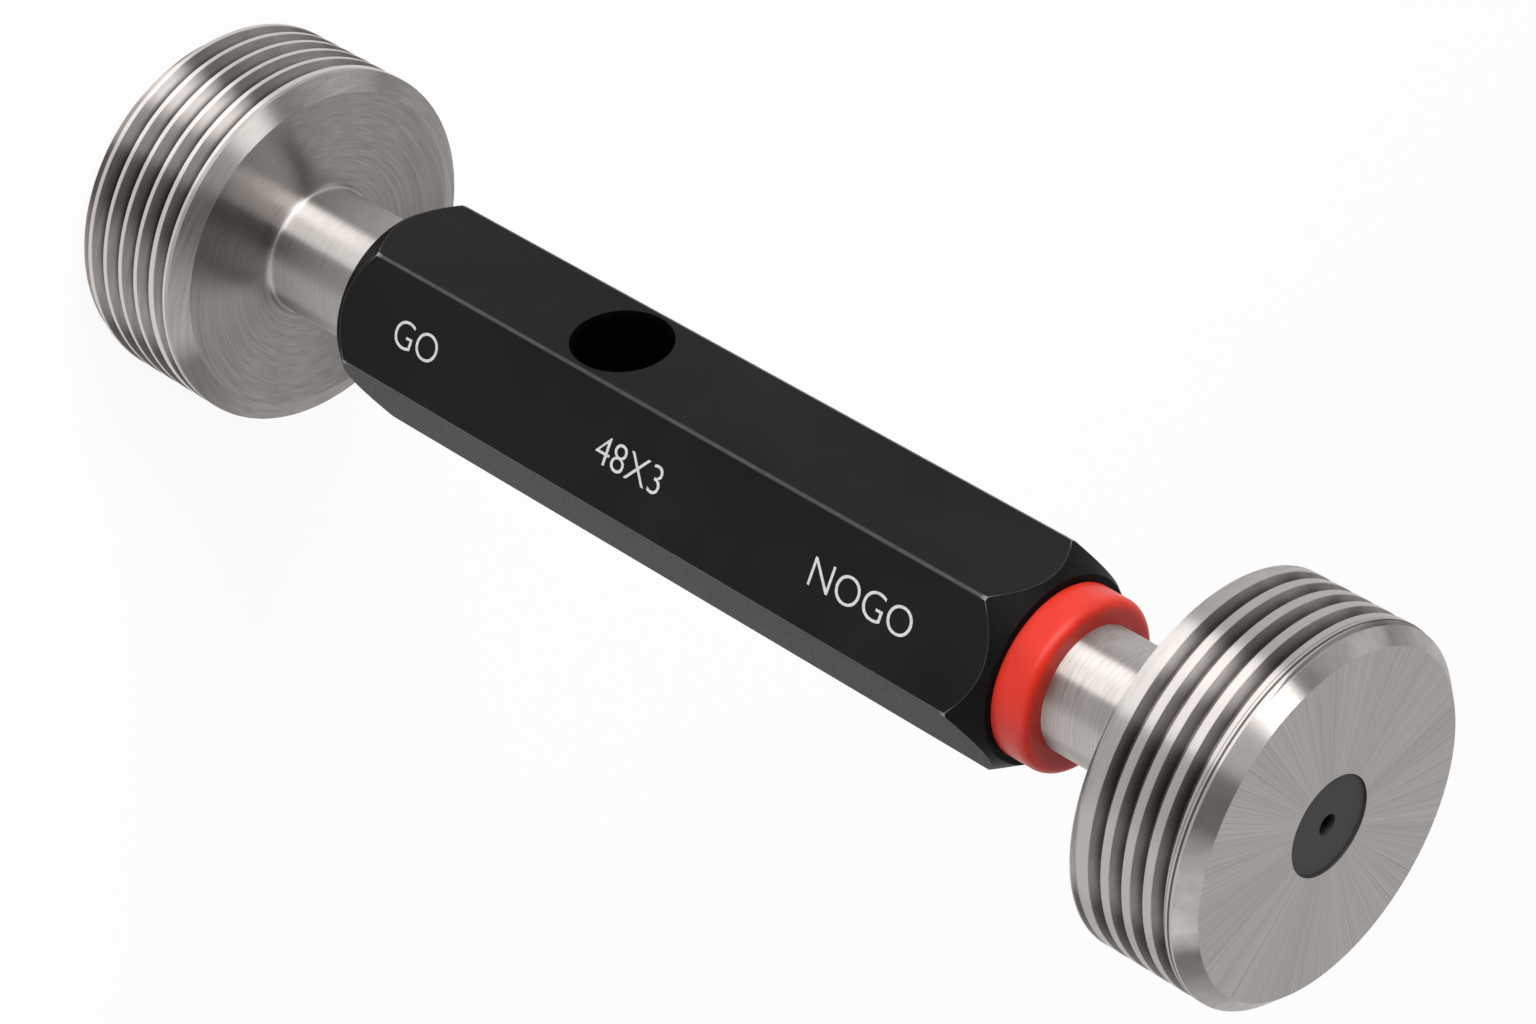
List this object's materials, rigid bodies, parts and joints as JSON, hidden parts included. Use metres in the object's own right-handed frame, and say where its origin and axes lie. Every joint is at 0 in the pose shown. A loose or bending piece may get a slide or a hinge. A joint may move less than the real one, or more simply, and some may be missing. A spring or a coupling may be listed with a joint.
{
  "type": "thread plug gauge",
  "caption": "Double-ended screw thread plug gauge: a black hexagonal handle holds a GO head and a red-ringed NOGO head on taper-locked necks.",
  "frame": {"origin": "centre of the GO member's front face, which the gauge stands on", "axes": "+Z along the gauge from the GO end to the NOGO end; X along the drift hole through the handle, with the hole's upper mouth towards +X; Y completes the right-handed frame"},
  "size_m": [0.048, 0.048, 0.187],
  "materials": {
    "ground_steel": "hardened and ground steel with fine turning marks",
    "blackened_handle": "satin black coating on a steel bar",
    "red_ring": "soft-gloss red plastic"
  },
  "bodies": {
    "root": {"go_thread_member": "ground_steel", "nogo_thread_member": "ground_steel", "hex_handle": "blackened_handle", "nogo_marker_ring": "red_ring"}
  },
  "joints": []
}
